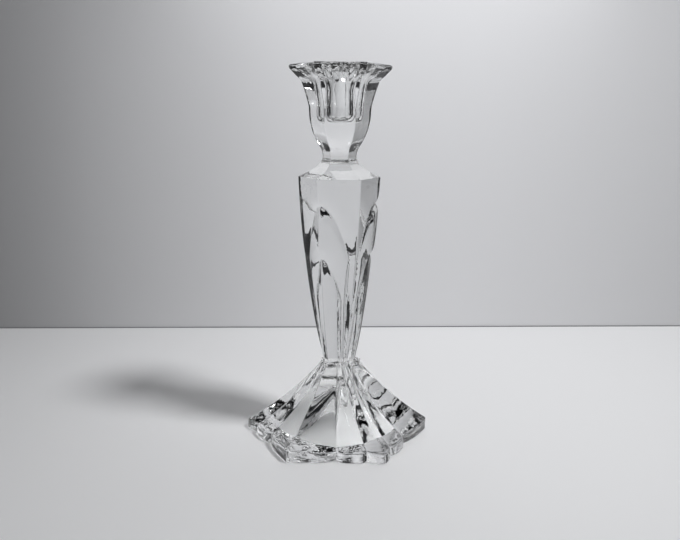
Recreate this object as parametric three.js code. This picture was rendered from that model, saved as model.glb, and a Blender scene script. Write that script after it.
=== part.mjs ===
// A pressed crystal candlestick: a hollow hexagonal foot with petals and flutes, a tapering hexagonal stem
// carved with pointed petals, and a flared hexagonal cup with a round candle socket. The three are bonded
// to one another on flat ground faces by thin layers of clear adhesive. Millimetres, +Z up, with the
// origin on the axis at table level.
import * as THREE from "three";

// Whole object
const HEIGHT = 300;
const BOND = 0.3; // thickness of each adhesive layer
const CORNERS = 6;
const PETALS = 3; // petals stand on every second corner, starting at +X

// Foot
const FOOT_RADIUS = 75.7; // axis to corner
const FOOT_TOP = 62.4;
const FOOT_EDGE = 7; // height of the upright outer edge
const FOOT_EDGE_LEAN = 0.3; // how far that edge leans in towards its top
const FOOT_BEVEL = [0.7, 1]; // width and height of the bevel under it
const FOOT_SHOULDER = [73, 8.5]; // where the slope leaves the edge
const FOOT_SLOPE_PULL = [38, 30]; // pulls the slope into its hollow curve
const SLOPE_STEPS = 7;
const COLLAR = [13.9, 59.5]; // foot of the upright collar
const PETAL_RIDGE = 5.2; // how far a petal stands outside the flutes along its middle
const PETAL_SIDE = 1; // and at its sides
const PETAL_START = [5, 11]; // heights over which the petals rise out of the edge
const NOTCH_DEPTH = 4.2;
const NOTCH_FADE = 0.1; // share of the depth that is left in the collar, beyond what its radius gives
const NOTCH_CURVE = 4; // higher numbers give flatter lobes and narrower grooves
const NOTCHES = [30, 51, 69, 90].map(THREE.MathUtils.degToRad); // grooves, counted from a petal's middle
const HOLLOW_RADIUS = 44.5; // mouth of the tent-shaped hollow underneath
const HOLLOW_HEIGHT = 48;
const HOLLOW_PULL = [10, 24];
const HOLLOW_STEPS = 6;

// Stem
const STEM_BOTTOM = FOOT_TOP + BOND;
const STEM_SHOULDER = 214.2; // sharp upper edge of the hexagonal shaft
const STEM_TOP = 229.2;
const STEM_RADIUS = 32.7; // axis to corner at the shoulder
const STEM_TAPER = 6.7;
const STEM_SWELL = 13; // extra taper towards the bottom, which makes the shaft bulge
const STEM_STEPS = 21;
const NECK_RADIUS = 13.4;
const NECK_PULL = [14, 221.5]; // pulls the shoulder's curve in under the neck
const NECK_STEPS = 4;

// Petals of the stem, outer then inner: tip height, arch height, half width of the arch and of the petal's
// lower end (as shares of a face), sink at the outline, rise of the middle, extra rise at the lower end
const OUTER_PETAL = { tip: 193.2, arch: 42.6, width: 0.82, end: 1, sink: 2.8, rise: 3.3, swell: 0 };
const INNER_PETAL = { tip: 151.7, arch: 34.5, width: 0.5, end: 0.58, sink: 3, rise: 2.1, swell: 2 };
const ARCH_POWER = 0.55; // 0.5 is a round-topped arch, 1 is a straight-sided one
const ARCH_STEPS = 16;
const CARVING_REACH = 0.1; // a petal rises from its outline over this share of the shaft's radius

// Cup
const CUP_BOTTOM = STEM_TOP + BOND;
const CUP_NECK = [[NECK_RADIUS, CUP_BOTTOM], [13.4, 231.5], [14.3, 235], [16, 238.2], [18, 241.5]];
const CUP_BODY = [
  [19.9, 245.2], [21.8, 250], [23.1, 255], [24, 260], [24.6, 268.5], [26.4, 275.5], [28.9, 283.5],
];
const LIP = [[31, 288], [35, 292], [39.3, 296.4], [40, 298.2], [39.2, 299.5], [37.6, HEIGHT]];
const MOUTH_RADIUS = 27; // the socket flares out to this at the top
const MOUTH_PULL = [12.5, 298.5];
const MOUTH_SCALLOP = 3; // how far the mouth swells in towards the corners and out towards the faces
const MOUTH_REED = 1; // depth of the small reeds on the scallops
const REEDS = 18;
const SOCKET_TOP = 282;
const SOCKET_RADIUS = 11.4;
const SOCKET_FLOOR = 257.5;
const SOCKET_ROUNDING = 5;
const ROUNDING_STEPS = 4;
const MOUTH_STEPS = 6;

const FOOT_SEGMENTS = 120;
const STEM_SEGMENTS = 60;
const CUP_SEGMENTS = 72;

const FULL_TURN = 2 * Math.PI;
const HEXAGON_SHARPNESS = 120; // higher numbers give sharper corners
const PETAL_SHARPNESS = 60;

// Radius of a hexagon with slightly rounded corners, as a share of its corner radius.
function hexagon(azimuth, sharpness = HEXAGON_SHARPNESS) {
  const roundness = (angle) => {
    let sum = 0;
    for (let face = 0; face < CORNERS; face++) {
      const normal = ((face + 0.5) * FULL_TURN) / CORNERS;
      sum += Math.max(0, Math.cos(angle - normal)) ** sharpness;
    }
    return sum ** (-1 / sharpness);
  };
  return roundness(azimuth) / roundness(0);
}

// Angle from the nearest petal's middle, from 0 to 60 degrees.
function fromPetal(azimuth) {
  const sector = FULL_TURN / PETALS;
  return Math.abs(azimuth - Math.round(azimuth / sector) * sector);
}

// Turns a profile of [radius, height] points into a solid, then moves each point's radius to
// form(radius, azimuth, height). A point that is marked as round stays where it is, apart from the mouth's
// scallops and reeds, of which it has the given share.
function turned(profile, segments, form) {
  const geometry = new THREE.LatheGeometry(profile.map(([r, z]) => new THREE.Vector2(r, z)), segments);
  const position = geometry.attributes.position;
  for (let i = 0; i < position.count; i++) {
    const column = Math.floor(i / profile.length) % segments;
    const azimuth = (column * FULL_TURN) / segments;
    const [radius, height, round, wavy = 0] = profile[i % profile.length];
    const waves = MOUTH_SCALLOP * Math.cos(CORNERS * azimuth) + MOUTH_REED * Math.cos(REEDS * azimuth);
    const r = round ? radius - wavy * waves : form(radius, azimuth, height);
    position.setXYZ(i, r * Math.cos(azimuth), r * Math.sin(azimuth), height);
  }
  geometry.computeVertexNormals();
  return geometry;
}

// Points of a curve from start to end that is drawn towards pull, without its first point.
function curved(start, pull, end, steps) {
  const [a, b, c] = [start, pull, end].map(([r, z]) => new THREE.Vector2(r, z));
  return new THREE.QuadraticBezierCurve(a, b, c).getPoints(steps).slice(1).map((p) => [p.x, p.y]);
}

const asRound = (points) => points.map(([r, z]) => [r, z, true]);

function crystal(name, geometry) {
  const glass = new THREE.MeshStandardMaterial({ color: 0xe9ecec, roughness: 0.03, metalness: 0 });
  glass.transparent = true;
  glass.opacity = 0.35;
  const mesh = new THREE.Mesh(geometry, glass);
  mesh.name = name;
  return mesh;
}

// Depth of the grooves between petals and flutes: full at a notch, none over the middle of a lobe.
function groove(azimuth) {
  const angle = fromPetal(azimuth);
  const lobes = [-NOTCHES[0], ...NOTCHES];
  const next = lobes.findIndex((notch) => notch > angle);
  const across = (angle - lobes[next - 1]) / (lobes[next] - lobes[next - 1]);
  return Math.abs(2 * across - 1) ** NOTCH_CURVE;
}

// Outline of the foot: a hexagon, raised under each petal and grooved at its notches.
function footForm(radius, azimuth, height) {
  const up = THREE.MathUtils.smoothstep(height, ...PETAL_START);
  const sideways = fromPetal(azimuth) / NOTCHES[0];
  const petal = sideways < 1 ? (PETAL_RIDGE - (PETAL_RIDGE - PETAL_SIDE) * sideways) * up : 0;
  const depth = NOTCH_DEPTH * Math.min(1, radius / FOOT_RADIUS + NOTCH_FADE);
  return Math.min(radius * hexagon(azimuth) + petal, FOOT_RADIUS * hexagon(azimuth)) - depth * groove(azimuth);
}

function foot() {
  const hollow = curved([0, HOLLOW_HEIGHT], HOLLOW_PULL, [HOLLOW_RADIUS, 0], HOLLOW_STEPS);
  const profile = [
    [0, HOLLOW_HEIGHT, true],
    ...asRound(hollow),
    [FOOT_RADIUS - FOOT_BEVEL[0], 0],
    [FOOT_RADIUS, FOOT_BEVEL[1]],
    [FOOT_RADIUS - FOOT_EDGE_LEAN, FOOT_EDGE],
    FOOT_SHOULDER,
    ...curved(FOOT_SHOULDER, FOOT_SLOPE_PULL, COLLAR, SLOPE_STEPS),
    [stemRadius(STEM_BOTTOM), FOOT_TOP],
    [0, FOOT_TOP, true],
  ];
  return crystal("foot", turned(profile, FOOT_SEGMENTS, footForm));
}

// Corner radius of the plain hexagonal shaft at a height.
function stemRadius(height) {
  const down = (STEM_SHOULDER - height) / (STEM_SHOULDER - STEM_BOTTOM);
  return STEM_RADIUS - STEM_TAPER * down - STEM_SWELL * down ** 2;
}

// Points down one side of a petal's outline, as [distance from the petal's corner, height].
function petalOutline({ tip, arch, width, end }) {
  const points = [];
  for (let i = 0; i <= ARCH_STEPS; i++) {
    const down = (i / ARCH_STEPS) ** 2;
    const height = tip - arch * down;
    points.push([width * stemRadius(height) * down ** ARCH_POWER, height]);
  }
  points.push([end * stemRadius(STEM_BOTTOM), STEM_BOTTOM]);
  return points;
}

// Distance of a point on a face from a petal's outline: positive inside the petal.
function insidePetal(x, z, outline) {
  let nearest = Infinity;
  let within = false;
  for (let i = 1; i < outline.length; i++) {
    const [[x0, z0], [x1, z1]] = [outline[i - 1], outline[i]];
    const along = ((x - x0) * (x1 - x0) + (z - z0) * (z1 - z0)) / ((x1 - x0) ** 2 + (z1 - z0) ** 2);
    const t = THREE.MathUtils.clamp(along, 0, 1);
    nearest = Math.min(nearest, Math.hypot(x - x0 - t * (x1 - x0), z - z0 - t * (z1 - z0)));
    if (z <= z0 && z >= z1) within = x < x0 + ((z0 - z) / (z0 - z1)) * (x1 - x0);
  }
  return within ? nearest : -nearest;
}

// How far the carving moves the face of the shaft, at a distance x along a face from a petal's corner.
function carving(x, z) {
  return [OUTER_PETAL, INNER_PETAL].reduce((sum, petal) => {
    const depth = insidePetal(x, z, petalOutline(petal));
    const fade = Math.exp(-Math.abs(depth) / (CARVING_REACH * stemRadius(z)));
    const swell = petal.swell * THREE.MathUtils.smoothstep(petal.tip - z, 0, petal.tip - STEM_BOTTOM);
    return sum - petal.sink * fade + (depth > 0 ? (petal.rise - petal.sink) * (1 - fade) + swell : 0);
  }, 0);
}

// Outline of the stem: a hexagon, with its carved petals below the shoulder.
function stemForm(radius, azimuth, height) {
  if (height >= STEM_SHOULDER) return radius * hexagon(azimuth);
  const face = 0.5 + Math.cos(Math.PI / CORNERS) * Math.tan(fromPetal(azimuth) - Math.PI / CORNERS);
  const x = face * radius;
  const inPetal = insidePetal(x, height, petalOutline(OUTER_PETAL)) > 0;
  return radius * hexagon(azimuth, inPetal ? PETAL_SHARPNESS : HEXAGON_SHARPNESS) + carving(x, height);
}

function stem() {
  const shaft = [];
  for (let i = 0; i <= STEM_STEPS; i++) {
    const height = STEM_BOTTOM + ((STEM_SHOULDER - STEM_BOTTOM) * i) / STEM_STEPS;
    shaft.push([stemRadius(height), height]);
  }
  const profile = [
    [0, STEM_BOTTOM, true],
    ...shaft,
    ...curved([STEM_RADIUS, STEM_SHOULDER], NECK_PULL, [NECK_RADIUS, STEM_TOP], NECK_STEPS),
    [0, STEM_TOP, true],
  ];
  return crystal("stem", turned(profile, STEM_SEGMENTS, stemForm));
}

function candleCup() {
  const rounding = [];
  for (let i = 0; i <= ROUNDING_STEPS; i++) {
    const angle = (i / ROUNDING_STEPS) * 0.5 * Math.PI;
    const inwards = SOCKET_ROUNDING * (1 - Math.cos(angle));
    rounding.push([SOCKET_RADIUS - inwards, SOCKET_FLOOR + SOCKET_ROUNDING * (1 - Math.sin(angle))]);
  }
  const rim = [MOUTH_RADIUS, HEIGHT];
  const flare = curved(rim, MOUTH_PULL, [SOCKET_RADIUS, SOCKET_TOP], MOUTH_STEPS);
  const mouth = [rim, ...flare].map(([r, z]) => {
    const outwards = (r - SOCKET_RADIUS) / (MOUTH_RADIUS - SOCKET_RADIUS);
    return [r, z, true, outwards];
  });
  const profile = [
    [0, CUP_BOTTOM, true],
    ...CUP_NECK,
    ...CUP_BODY,
    ...LIP,
    ...mouth,
    ...asRound(rounding),
    [0, SOCKET_FLOOR, true],
  ];
  return crystal("candle_cup", turned(profile, CUP_SEGMENTS, (radius, azimuth) => radius * hexagon(azimuth)));
}

// A layer of clear adhesive that fills the joint above the given height.
function bond(name, bottom, radius, segments, form) {
  const profile = [
    [0, bottom, true],
    [radius, bottom],
    [radius, bottom + BOND],
    [0, bottom + BOND, true],
  ];
  const mesh = crystal(name, turned(profile, segments, form));
  mesh.material.color.set(0xf4f4ee);
  mesh.material.roughness = 0.15;
  return mesh;
}

const footJoint = (radius, azimuth) => stemForm(radius, azimuth, STEM_BOTTOM);

const candlestick = new THREE.Group();
candlestick.add(
  foot(),
  bond("foot_bond", FOOT_TOP, stemRadius(STEM_BOTTOM), STEM_SEGMENTS, footJoint),
  stem(),
  bond("cup_bond", STEM_TOP, NECK_RADIUS, CUP_SEGMENTS, (radius, azimuth) => radius * hexagon(azimuth)),
  candleCup(),
);

export default candlestick;
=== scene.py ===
import math

import bpy
import numpy as np
from mathutils import Matrix, Vector


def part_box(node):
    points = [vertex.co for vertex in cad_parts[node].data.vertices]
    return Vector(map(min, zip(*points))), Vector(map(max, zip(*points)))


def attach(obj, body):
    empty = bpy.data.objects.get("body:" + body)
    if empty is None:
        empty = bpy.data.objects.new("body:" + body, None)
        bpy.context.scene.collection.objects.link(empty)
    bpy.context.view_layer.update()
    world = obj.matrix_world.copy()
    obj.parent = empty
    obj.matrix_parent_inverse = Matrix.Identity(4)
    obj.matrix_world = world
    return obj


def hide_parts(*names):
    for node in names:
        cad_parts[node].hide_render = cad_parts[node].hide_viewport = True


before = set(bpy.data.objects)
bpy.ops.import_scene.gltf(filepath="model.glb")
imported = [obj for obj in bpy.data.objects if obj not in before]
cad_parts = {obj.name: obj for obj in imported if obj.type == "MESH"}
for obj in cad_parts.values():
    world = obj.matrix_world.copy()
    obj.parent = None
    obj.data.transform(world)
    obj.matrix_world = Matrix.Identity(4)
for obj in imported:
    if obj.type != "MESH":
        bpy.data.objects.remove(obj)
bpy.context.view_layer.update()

# ---------------------------------------------------------------- foot
# The spreading foot: one pressing of clear crystal, hexagonal, hollow underneath. Petals swell from every
# second corner, and three narrow flutes lie between each pair. Its collar is ground flat to take the stem.

foot_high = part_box("foot")[1]
FOOT_CORNER = foot_high.x
FOOT_TOP = foot_high.z
RIM_ROUNDING = ((0.0025, 0), (0.001, 0), (0.0005, 0.0002), (0.0001, 0.0006), (0, 0.0012))  # inset, height
EDGE_START, FOOT_EDGE = 0.002, 0.007  # where the upright outer edge begins, and its top
EDGE_LEAN = 0.0003           # how far that edge leans in on its way up
SHOULDER = (0.0732, 0.0086)  # radius and height where the slope leaves the edge
SHOULDER_ROUNDING = 0.0004
SLOPE_PULL = (0.038, 0.030)
COLLAR = (0.0139, 0.0595)    # radius and height where the slope ends and the upright collar starts
PETAL_START = (0.005, 0.011)  # heights between which the petals rise out of the edge
PETAL_RIDGE, PETAL_SIDE = 0.0052, 0.0010  # how far a petal stands out along its middle and at its sides
PETAL_BREAK = 0.94           # share of a petal's half width at which its side drops away
NOTCHES = np.radians([30.0, 51.0, 69.0, 90.0])  # grooves, counted from a petal's middle
NOTCH_DEPTH = 0.0042         # at the edge: it fades with the radius on the way up to the collar
NOTCH_FADE = 0.1             # how late that fading starts, as a share of the corner radius
NOTCH_CURVE = 4              # higher gives narrower grooves
HOLLOW_RADIUS, HOLLOW_HEIGHT = 0.0445, 0.048
HOLLOW_PULL = (0.010, 0.024)
HOLLOW_TIP = 0.0004          # radius of the small face that closes the hollow
EDGE_CRISPNESS = 110         # higher gives sharper corners
SHARP_ANGLE = math.radians(32)  # faces that meet at more than this keep a crisp edge
RIPPLE_HEIGHT = 0.0004


def from_petal(azimuth):
    """Angle from the nearest petal corner, from 0 to 60 degrees. Petals stand at 0, 120 and 240 degrees."""
    sector = math.radians(120)
    return np.abs(azimuth - np.round(azimuth / sector) * sector)


def hexagon(azimuth, crispness=EDGE_CRISPNESS):
    """Radius of a hexagon with softly rounded corners, as a share of its corner radius."""
    normals = np.radians(np.arange(30, 360, 60))

    def roundness(angle):
        facing = np.maximum(0, np.cos(np.subtract.outer(angle, normals)))
        return np.sum(facing ** crispness, axis=-1) ** (-1 / crispness)

    return roundness(azimuth) / roundness(np.zeros(1))


def smooth(value, low, high):
    t = np.clip((value - low) / (high - low), 0, 1)
    return t * t * (3 - 2 * t)


def around(step, creases, spread=(0.3, 0.7, 1.3, 2.2)):
    """Azimuths of a mesh's columns, from a step in degrees: closer together on both sides of each crease."""
    degrees = set(np.arange(0, 360, step).round(3))
    for crease in creases:
        degrees = {d for d in degrees if abs((d - crease + 180) % 360 - 180) > spread[-1] + step / 3}
    for crease in creases:
        for offset in (0, *spread):
            degrees |= {round((crease + offset) % 360, 3), round((crease - offset) % 360, 3)}
    return np.radians(sorted(degrees))


def curve_points(start, pull, end, steps):
    """Points of a curve from start to end that is drawn towards pull."""
    t = np.linspace(0, 1, steps)[:, None]
    return (1 - t) ** 2 * np.array(start) + 2 * t * (1 - t) * np.array(pull) + t ** 2 * np.array(end)


def press(name, rings, azimuths, substance, ground_first=False, ground_last=False):
    """Skins a closed body over rings of (radii, height), and marks the ground faces that get bonded."""
    columns = len(azimuths)
    cos, sin = np.cos(azimuths), np.sin(azimuths)
    points = np.concatenate([
        np.stack([radii * cos, radii * sin, np.full(columns, height)], axis=1)
        for radii, height in rings
    ])
    faces = []
    for ring in range(len(rings) - 1):
        low, high = ring * columns, (ring + 1) * columns
        for i in range(columns):
            j = (i + 1) % columns
            faces.append((low + i, low + j, high + j, high + i))
    faces.append(tuple(range(columns))[::-1])
    faces.append(tuple(range(len(points) - columns, len(points))))
    mesh = bpy.data.meshes.new(name)
    mesh.from_pydata(points.tolist(), [], faces)
    mesh.update()
    mesh.polygons.foreach_set("use_smooth", [True] * len(mesh.polygons))
    piece = bpy.data.objects.new(name, mesh)
    bpy.context.scene.collection.objects.link(piece)
    piece.data.materials.append(substance)
    piece.data.materials.append(bonded_face())
    mesh.polygons[-2].material_index = 1 if ground_first else 0
    mesh.polygons[-1].material_index = 1 if ground_last else 0
    mesh.set_sharp_from_angle(angle=SHARP_ANGLE)
    return piece


def clear_solid(name, tint, bending, ripple_scale, ripple_strength, light_passed):
    """A clear substance, rippled on its surface. A share of the lamps' light goes straight through it."""
    substance = bpy.data.materials.new(name)
    substance.use_nodes = True
    nodes, links = substance.node_tree.nodes, substance.node_tree.links
    shader = nodes["Principled BSDF"]
    shader.inputs["Base Color"].default_value = (*tint, 1)
    shader.inputs["IOR"].default_value = bending
    shader.inputs["Transmission Weight"].default_value = 1.0
    shader.inputs["Roughness"].default_value = 0.0
    where = nodes.new("ShaderNodeTexCoord")
    ripple = nodes.new("ShaderNodeTexNoise")
    ripple.inputs["Scale"].default_value = ripple_scale
    ripple.inputs["Detail"].default_value = 1.5
    links.new(where.outputs["Object"], ripple.inputs["Vector"])
    bump = nodes.new("ShaderNodeBump")
    bump.inputs["Strength"].default_value = ripple_strength
    bump.inputs["Distance"].default_value = RIPPLE_HEIGHT
    links.new(ripple.outputs["Fac"], bump.inputs["Height"])
    links.new(bump.outputs["Normal"], shader.inputs["Normal"])
    passing = nodes.new("ShaderNodeMath")
    passing.operation = "MULTIPLY"
    passing.inputs[1].default_value = light_passed
    links.new(nodes.new("ShaderNodeLightPath").outputs["Is Shadow Ray"], passing.inputs[0])
    lit = nodes.new("ShaderNodeMixShader")
    links.new(passing.outputs["Value"], lit.inputs["Fac"])
    links.new(shader.outputs["BSDF"], lit.inputs[1])
    links.new(nodes.new("ShaderNodeBsdfTransparent").outputs["BSDF"], lit.inputs[2])
    links.new(lit.outputs["Shader"], nodes["Material Output"].inputs["Surface"])
    return substance


# Clear pressed crystal: fire-polished, with the slow ripple that the mould leaves in its surface. The foot is
# a thin wall over its hollow, so nearly half of the lamps' light goes straight through it.
CRYSTAL = dict(tint=(0.985, 0.990, 0.988), bending=1.545, ripple_scale=200, ripple_strength=0.4)
foot_wall = clear_solid("foot_crystal", **CRYSTAL, light_passed=0.45)


def bonded_face():
    """A ground face wetted by adhesive, which bends light nearly as crystal does: it is crossed unbent."""
    wetted = bpy.data.materials.get("bonded_face")
    if wetted:
        return wetted
    wetted = bpy.data.materials.new("bonded_face")
    wetted.use_nodes = True
    nodes, links = wetted.node_tree.nodes, wetted.node_tree.links
    nodes.remove(nodes["Principled BSDF"])
    clear = nodes.new("ShaderNodeBsdfTransparent")
    links.new(clear.outputs["BSDF"], nodes["Material Output"].inputs["Surface"])
    return wetted


def groove(azimuth):
    """Depth of the grooves between lobes: full at a notch, none over the middle of a lobe."""
    bounds = np.concatenate([[-NOTCHES[0]], NOTCHES])
    angle = from_petal(azimuth)
    lobe = np.searchsorted(bounds, angle, side="right")
    across = (angle - bounds[lobe - 1]) / (bounds[lobe] - bounds[lobe - 1])
    return np.abs(2 * across - 1) ** NOTCH_CURVE


foot_columns = around(2.5, [p + n for p in (0, 120, 240) for n in (0, 30, 51, 60, 69, 90)])


def foot_radii(radius, height):
    """Outline of the foot at a height: a hexagon, raised under the petals and grooved at the notches."""
    up = smooth(height, *PETAL_START)
    sideways = from_petal(foot_columns) / NOTCHES[0]
    raised = PETAL_RIDGE - (PETAL_RIDGE - PETAL_SIDE) * np.minimum(1, sideways)
    raised *= 1 - smooth(sideways, PETAL_BREAK, 1)
    plain = hexagon(foot_columns)
    outline = np.minimum(radius * plain + up * raised, FOOT_CORNER * plain)
    depth = NOTCH_DEPTH * min(1, radius / FOOT_CORNER + NOTCH_FADE)
    return outline - depth * groove(foot_columns)


foot_rings = []
for radius, height in curve_points((HOLLOW_TIP, HOLLOW_HEIGHT), HOLLOW_PULL, (HOLLOW_RADIUS, 0), steps=40):
    foot_rings.append((np.full(len(foot_columns), radius), height))
for inset, height in RIM_ROUNDING:
    foot_rings.append((foot_radii(FOOT_CORNER - inset, height), height))
for height in np.linspace(EDGE_START, FOOT_EDGE, 6):
    foot_rings.append((foot_radii(FOOT_CORNER - EDGE_LEAN * height / FOOT_EDGE, height), height))
edge_top = (FOOT_CORNER - EDGE_LEAN, FOOT_EDGE)
edge_pull = (FOOT_CORNER - SHOULDER_ROUNDING, SHOULDER[1] - SHOULDER_ROUNDING)
for radius, height in curve_points(edge_top, edge_pull, SHOULDER, steps=6)[1:]:
    foot_rings.append((foot_radii(radius, height), height))
for radius, height in curve_points(SHOULDER, SLOPE_PULL, COLLAR, steps=70)[1:]:
    foot_rings.append((foot_radii(radius, height), height))
for height in np.linspace(COLLAR[1], FOOT_TOP, 8)[1:]:
    foot_rings.append((foot_radii(COLLAR[0], height), height))

foot = press("foot_crystal", foot_rings, foot_columns, foot_wall, ground_last=True)
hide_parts("foot")
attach(foot, "root")

# ---------------------------------------------------------------- stem
# The shaft: one solid pressing, a tapering hexagon. Two pointed petals, one in the other, are carved round
# each corner that carries a petal on the foot. Its sloping shoulder runs up into the neck.

stem_low, stem_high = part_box("stem")
STEM_BOTTOM, STEM_TOP = stem_low.z, stem_high.z
STEM_CORNER = 0.0327
STEM_SHOULDER = 0.2142
SHOULDER_BEVEL = 0.0006      # width of the rounding along the shoulder's edge
STEM_TAPER, STEM_SWELL = 0.0067, 0.0130  # narrowing down to the foot: the even part, and the growing part
NECK_RADIUS = 0.0134
NECK_PULL = (0.0140, 0.2215)
# A petal's point is at tip, and its arch is arch high. Width and end are its half widths below the arch and
# at the bottom, in corner radii. Its border is sunk by sink, its middle stands out from there by rise, and
# swell is what the middle gains on the way down.
OUTER_PETAL = dict(tip=0.1932, arch=0.0426, width=0.82, end=1.0, sink=0.0028, rise=0.0033, swell=0.0)
INNER_PETAL = dict(tip=0.1517, arch=0.0345, width=0.50, end=0.58, sink=0.0030, rise=0.0021, swell=0.0020)
ARCH_POWER = 0.55            # lower gives a blunter point
CARVING_REACH = 0.10         # how far a petal's sunk border fades, as a share of the corner radius
CARVING_ROUNDING = 0.0003    # rounds the bottom of that border
PETAL_STEP = 0.0004          # half the width of the step at a petal's outline
PETAL_BLEND = (-0.001, 0.003)  # depths inside the outline between which the corner turns softer
PETAL_CRISPNESS = 60


def stem_radius(height):
    """Corner radius of the plain shaft."""
    down = (STEM_SHOULDER - height) / (STEM_SHOULDER - STEM_BOTTOM)
    return STEM_CORNER - STEM_TAPER * down - STEM_SWELL * down ** 2


def petal_outline(petal):
    """Points down one side of a petal, as distance from its corner and height."""
    down = np.linspace(0, 1, 40) ** 2
    heights = petal["tip"] - petal["arch"] * down
    side = petal["width"] * stem_radius(heights) * down ** ARCH_POWER
    return np.concatenate([np.stack([side, heights], axis=1),
                           [[petal["end"] * stem_radius(STEM_BOTTOM), STEM_BOTTOM]]])


def inside_petal(x, z, outline):
    """Distance of points on a face from a petal's outline: positive inside it."""
    nearest = np.full(x.shape, np.inf)
    within = np.zeros(x.shape, bool)
    for (x0, z0), (x1, z1) in zip(outline[:-1], outline[1:]):
        t = np.clip(((x - x0) * (x1 - x0) + (z - z0) * (z1 - z0)) / ((x1 - x0) ** 2 + (z1 - z0) ** 2), 0, 1)
        nearest = np.minimum(nearest, np.hypot(x - x0 - t * (x1 - x0), z - z0 - t * (z1 - z0)))
        within |= (z <= z0) & (z >= z1) & (x < x0 + (z0 - z) / (z0 - z1) * (x1 - x0))
    return np.where(within, nearest, -nearest)


stem_columns = around(1.5, range(0, 360, 60), spread=(0.4, 0.9, 1.6))
petal_lines = [petal_outline(OUTER_PETAL), petal_outline(INNER_PETAL)]


def stem_radii(height):
    """Outline of the shaft at a height: a hexagon with the nested petals carved round three corners."""
    radius = stem_radius(height)
    face = 0.5 + math.cos(math.pi / 6) * np.tan(from_petal(stem_columns) - math.pi / 6)
    x, z = face * radius, np.full(len(stem_columns), height)
    moved = np.zeros(len(stem_columns))
    for petal, line in zip((OUTER_PETAL, INNER_PETAL), petal_lines):
        depth = inside_petal(x, z, line)
        fade = np.exp(-np.sqrt(depth ** 2 + CARVING_ROUNDING ** 2) / (CARVING_REACH * radius))
        swell = petal["swell"] * smooth(petal["tip"] - height, 0, petal["tip"] - STEM_BOTTOM)
        inside = smooth(depth, -PETAL_STEP, PETAL_STEP)
        moved += -petal["sink"] * fade + inside * ((petal["rise"] - petal["sink"]) * (1 - fade) + swell)
        if petal is OUTER_PETAL:
            soft = smooth(depth, *PETAL_BLEND)
    outline = (1 - soft) * hexagon(stem_columns) + soft * hexagon(stem_columns, PETAL_CRISPNESS)
    return radius * outline + moved


stem_rings = []
for height in np.linspace(STEM_BOTTOM, STEM_SHOULDER - SHOULDER_BEVEL, 220):
    stem_rings.append((stem_radii(height), height))
for inset, drop in ((SHOULDER_BEVEL / 6, SHOULDER_BEVEL / 3), (SHOULDER_BEVEL, 0)):
    stem_rings.append(((stem_radius(STEM_SHOULDER) - inset) * hexagon(stem_columns), STEM_SHOULDER - drop))
neck = curve_points((STEM_CORNER, STEM_SHOULDER), NECK_PULL, (NECK_RADIUS, STEM_TOP), steps=44)
for radius, height in neck[2:]:
    stem_rings.append((radius * hexagon(stem_columns), height))

# The same crystal in the solid stem and cup, where far less of the lamps' light goes straight through.
thick_crystal = clear_solid("thick_crystal", **CRYSTAL, light_passed=0.05)
stem = press("stem_crystal", stem_rings, stem_columns, thick_crystal, ground_first=True, ground_last=True)
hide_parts("stem")
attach(stem, "root")

# ---------------------------------------------------------------- bonds
# Thin layers of clear adhesive, cured between the ground faces: one under the stem and one in the neck. They
# keep a very faint yellow tint.

BOND_INSETS = dict(foot=0.0002, cup=0.0001)  # how far each layer stays inside the glass around it
ADHESIVE_TINT, ADHESIVE_BENDING = (0.985, 0.985, 0.955), 1.51
cured_adhesive = clear_solid("cured_adhesive", ADHESIVE_TINT, ADHESIVE_BENDING, ripple_scale=900,
                             ripple_strength=0.6, light_passed=0.05)


def adhesive(name, node, radii):
    """One layer, as thick as the gap that its node fills."""
    low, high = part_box(node)
    rings = [(radii, low.z), (radii, high.z)]
    piece = press(name, rings, stem_columns, cured_adhesive, ground_first=True, ground_last=True)
    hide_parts(node)
    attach(piece, "root")


adhesive("foot_adhesive", "foot_bond", stem_radii(STEM_BOTTOM) - BOND_INSETS["foot"])
adhesive("cup_adhesive", "cup_bond", NECK_RADIUS * hexagon(stem_columns) - BOND_INSETS["cup"])

# ---------------------------------------------------------------- candle cup
# The cup: one solid pressing of crystal with six faces and a flared lip. The plunger of the mould leaves a
# round socket for the candle, whose scalloped and finely reeded mouth opens out into the lip.

cup_low, cup_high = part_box("candle_cup")
CUP_BOTTOM, CUP_TOP = cup_low.z, cup_high.z
CUP_NECK = [(NECK_RADIUS, CUP_BOTTOM), (0.0134, 0.2315), (0.0143, 0.2350), (0.0160, 0.2382),
            (0.0180, 0.2415)]
CUP_BODY = [(0.0199, 0.2452), (0.0218, 0.2500), (0.0231, 0.2550), (0.0240, 0.2600), (0.0246, 0.2685),
            (0.0264, 0.2755), (0.0289, 0.2835), (0.0310, 0.2880), (0.0350, 0.2920), (0.0393, 0.2964)]
LIP_EDGE = [(0.0400, 0.2982), (0.0392, 0.2995), (0.0376, 0.3000)]
MOUTH_RADIUS, MOUTH_PULL = 0.027, (0.0125, 0.2985)
MOUTH_SCALLOP = 0.003        # how far the mouth swells in towards the corners and out towards the faces
MOUTH_REED, REEDS = 0.001, 18  # depth and number of the small reeds on the scallops
SOCKET_TOP, SOCKET_FLOOR = 0.2820, 0.2575
SOCKET_RADIUS, SOCKET_ROUNDING = 0.0114, 0.005
SOCKET_CENTRE = 0.0005       # radius of the small face in the middle of the socket's floor

cup_columns = around(1.25, range(0, 360, 60), spread=(0.4, 0.9, 1.6))


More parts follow.
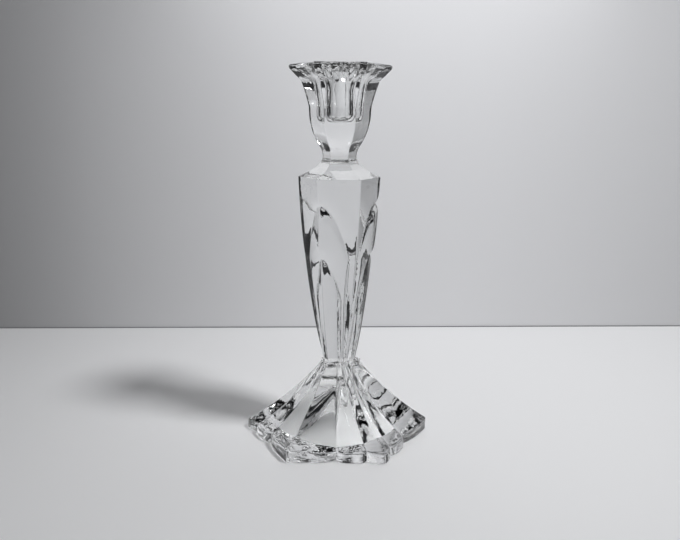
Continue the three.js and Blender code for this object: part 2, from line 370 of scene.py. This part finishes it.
def smooth_line(points, steps):
    """A smooth line through points, with its ends kept."""
    path = np.array([points[0], *points, points[-1]], float)
    line = []
    for a, b, c, d in zip(path[:-3], path[1:-2], path[2:-1], path[3:]):
        for t in np.linspace(0, 1, steps, endpoint=False):
            line.append(0.5 * (2 * b + (c - a) * t + (2 * a - 5 * b + 4 * c - d) * t ** 2
                               + (3 * b - a - 3 * c + d) * t ** 3))
    return [*line, path[-1]]


cup_rings = []
for radius, height in smooth_line([*CUP_NECK, *CUP_BODY], steps=9)[:-1]:
    cup_rings.append((radius * hexagon(cup_columns), height))
for radius, height in smooth_line([CUP_BODY[-1], *LIP_EDGE], steps=6):
    cup_rings.append((radius * hexagon(cup_columns), height))
waves = MOUTH_SCALLOP * np.cos(6 * cup_columns) + MOUTH_REED * np.cos(REEDS * cup_columns)
mouth = curve_points((MOUTH_RADIUS, CUP_TOP), MOUTH_PULL, (SOCKET_RADIUS, SOCKET_TOP), steps=32)
for radius, height in mouth:
    outwards = (radius - SOCKET_RADIUS) / (MOUTH_RADIUS - SOCKET_RADIUS)
    cup_rings.append((radius - outwards * waves, height))
for height in np.linspace(SOCKET_TOP, SOCKET_FLOOR + SOCKET_ROUNDING, 20)[1:]:
    cup_rings.append((np.full(len(cup_columns), SOCKET_RADIUS), height))
for angle in np.radians(np.linspace(0, 90, 12)[1:]):
    inset = SOCKET_ROUNDING * (1 - math.cos(angle))
    cup_rings.append((np.full(len(cup_columns), SOCKET_RADIUS - inset),
                      SOCKET_FLOOR + SOCKET_ROUNDING * (1 - math.sin(angle))))
cup_rings.append((np.full(len(cup_columns), SOCKET_CENTRE), SOCKET_FLOOR))

cup = press("candle_cup_crystal", cup_rings, cup_columns, thick_crystal, ground_first=True)
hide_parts("candle_cup")
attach(cup, "root")

# ---------------------------------------------------------------- table and studio
# A pale table, and a low grey screen that stands behind, slightly askew, with painted shade that darkens the
# screen towards both ends. A lamp above the candlestick lights both, and a small bright lamp in front on the
# right throws the shadow. None of this belongs to the piece.

TABLE_DROP = 0.0003          # the foot's ground rim stands this far clear of the table
TABLE_RADIUS = 1.5
SCREEN_MIDDLE = (0.0, 0.2975)
SCREEN_YAW = math.radians(2.9)
SCREEN_LEFT, SCREEN_RIGHT, SCREEN_TOP = -0.46, 0.50, 0.55
SEAM_SHADE_HEIGHT, SEAM_SHADE_FORWARD = 0.0009, 0.0005  # height and forward offset of a dark strip of painted shade where the screen stands on the table


def painted(name, colour, roughness):
    """Smooth matt paint."""
    paint = bpy.data.materials.new(name)
    paint.use_nodes = True
    shader = paint.node_tree.nodes["Principled BSDF"]
    shader.inputs["Base Color"].default_value = (*colour, 1)
    shader.inputs["Roughness"].default_value = roughness
    return paint


def staged(name, corners, material):
    """A flat board of the studio."""
    mesh = bpy.data.meshes.new(name)
    mesh.from_pydata(corners, [], [tuple(range(len(corners)))])
    board = bpy.data.objects.new(name, mesh)
    bpy.context.scene.collection.objects.link(board)
    board.data.materials.append(material)


table_rim = [(TABLE_RADIUS * math.cos(a), TABLE_RADIUS * math.sin(a), -TABLE_DROP)
             for a in np.linspace(0, 2 * math.pi, 96, endpoint=False)]
staged("table", table_rim, painted("table_white", (0.80, 0.80, 0.80), 0.5))

# Painted shade: the screen's colour darkens towards both ends, most on the left, where less of the lamps'
# light falls.
SCREEN_PAINTED_SHADE = ((-0.46, 0.39), (-0.30, 0.63), (-0.12, 0.83), (0.03, 0.89), (0.22, 0.85), (0.50, 0.69))
screen_grey_and_painted_shade = painted("screen_grey_and_painted_shade", (0.8, 0.8, 0.8), 0.9)
nodes, links = screen_grey_and_painted_shade.node_tree.nodes, screen_grey_and_painted_shade.node_tree.links
place = nodes.new("ShaderNodeSeparateXYZ")
links.new(nodes.new("ShaderNodeTexCoord").outputs["Object"], place.inputs["Vector"])
across = nodes.new("ShaderNodeMapRange")
across.inputs["From Min"].default_value = SCREEN_LEFT
across.inputs["From Max"].default_value = SCREEN_RIGHT
links.new(place.outputs["X"], across.inputs["Value"])
shade_ramp = nodes.new("ShaderNodeValToRGB")
shade_ramp.color_ramp.interpolation = "CARDINAL"
for index, (sideways, tone) in enumerate(SCREEN_PAINTED_SHADE):
    at = (sideways - SCREEN_LEFT) / (SCREEN_RIGHT - SCREEN_LEFT)
    stop = shade_ramp.color_ramp.elements[index] if index < 2 else shade_ramp.color_ramp.elements.new(at)
    stop.position = at
    stop.color = (tone, tone, tone * 1.012, 1)
links.new(across.outputs["Result"], shade_ramp.inputs["Fac"])
links.new(shade_ramp.outputs["Color"], nodes["Principled BSDF"].inputs["Base Color"])
from_behind = nodes.new("ShaderNodeMixShader")
links.new(nodes.new("ShaderNodeNewGeometry").outputs["Backfacing"], from_behind.inputs["Fac"])
links.new(nodes["Principled BSDF"].outputs["BSDF"], from_behind.inputs[1])
links.new(nodes.new("ShaderNodeBsdfTransparent").outputs["BSDF"], from_behind.inputs[2])
links.new(from_behind.outputs["Shader"], nodes["Material Output"].inputs["Surface"])


def upright_panel(low, high, forward=0.0):
    """Corners of a panel as wide as the screen, in front of it by forward."""
    left, right = SCREEN_LEFT, SCREEN_RIGHT
    corners = []
    for sideways, height in ((left, low), (right, low), (right, high), (left, high)):
        corners.append((SCREEN_MIDDLE[0] + sideways * math.cos(SCREEN_YAW),
                        SCREEN_MIDDLE[1] + sideways * math.sin(SCREEN_YAW) - forward, height))
    return corners


staged("screen", upright_panel(-TABLE_DROP, SCREEN_TOP), screen_grey_and_painted_shade)
# Painted shade: a thin dark strip just in front of the screen's foot, where the screen meets the table.
painted_seam_shade = painted("screen_seam_painted_shade", (0.30, 0.30, 0.31), 0.9)
staged("screen_seam_painted_shade", upright_panel(-TABLE_DROP, SEAM_SHADE_HEIGHT, SEAM_SHADE_FORWARD), painted_seam_shade)

LAMP_COLOUR = (0.975, 0.982, 1.0)
OVERHEAD_SPOT = (0.065, 0.069)


def lamp(name, at, towards, size, power):
    """A square lamp that the camera doesn't see."""
    light = bpy.data.lights.new(name, "AREA")
    light.shape = "SQUARE"
    light.size = size
    light.energy = power
    light.color = LAMP_COLOUR
    fitting = bpy.data.objects.new(name, light)
    bpy.context.scene.collection.objects.link(fitting)
    fitting.location = at
    fitting.rotation_mode = "QUATERNION"
    fitting.rotation_quaternion = (Vector(towards) - Vector(at)).to_track_quat("-Z", "Y")
    fitting.visible_camera = False
    return fitting


# Both lamps are kept out of what the glass mirrors, and the overhead one out of what shows through it.
key_lamp = lamp("key_lamp", at=(0.906, -0.442, 1.700), towards=(0, 0, 0.15), size=0.32, power=26.5)
key_lamp.visible_glossy = False
overhead_lamp = lamp("overhead_lamp", (*OVERHEAD_SPOT, 0.447), (*OVERHEAD_SPOT, 0), size=0.5, power=0.50)
overhead_lamp.visible_transmission = False
overhead_lamp.visible_glossy = False

# The room is dark to the table, the screen and whatever mirrors inside the glass, and pale to the eye.
PALE_ROOM, DARK_ROOM = (0.55, 0.555, 0.57, 1), (0.006, 0.006, 0.007, 1)
world = bpy.data.worlds.new("room")
bpy.context.scene.world = world
world.use_nodes = True
nodes, links = world.node_tree.nodes, world.node_tree.links
path = nodes.new("ShaderNodeLightPath")
bounced = nodes.new("ShaderNodeMath")
bounced.operation = "ADD"
links.new(path.outputs["Glossy Depth"], bounced.inputs[0])
links.new(path.outputs["Diffuse Depth"], bounced.inputs[1])
seen = nodes.new("ShaderNodeMix")
seen.data_type = "RGBA"
links.new(bounced.outputs[0], seen.inputs["Factor"])
FIRST_COLOUR, SECOND_COLOUR, MIXED_COLOUR = 6, 7, 2  # places of the mix's colour sockets
seen.inputs[FIRST_COLOUR].default_value = PALE_ROOM
seen.inputs[SECOND_COLOUR].default_value = DARK_ROOM
links.new(seen.outputs[MIXED_COLOUR], nodes["Background"].inputs["Color"])

camera_data = bpy.data.cameras.new("camera")
camera_data.sensor_width = 36
camera_data.lens = 38.4
camera = bpy.data.objects.new("camera", camera_data)
bpy.context.scene.collection.objects.link(camera)
CAMERA_AT = Vector((0.00135, -0.5789, 0.2640))
PITCH, ROLL = math.radians(12.27), math.radians(0.66)
camera.rotation_mode = "QUATERNION"
camera.location = CAMERA_AT
aim = Matrix.Rotation(math.radians(90) - PITCH, 3, "X") @ Matrix.Rotation(ROLL, 3, "Z")
camera.rotation_quaternion = aim.to_quaternion()
bpy.context.scene.camera = camera
bpy.context.scene.view_settings.view_transform = "Standard"
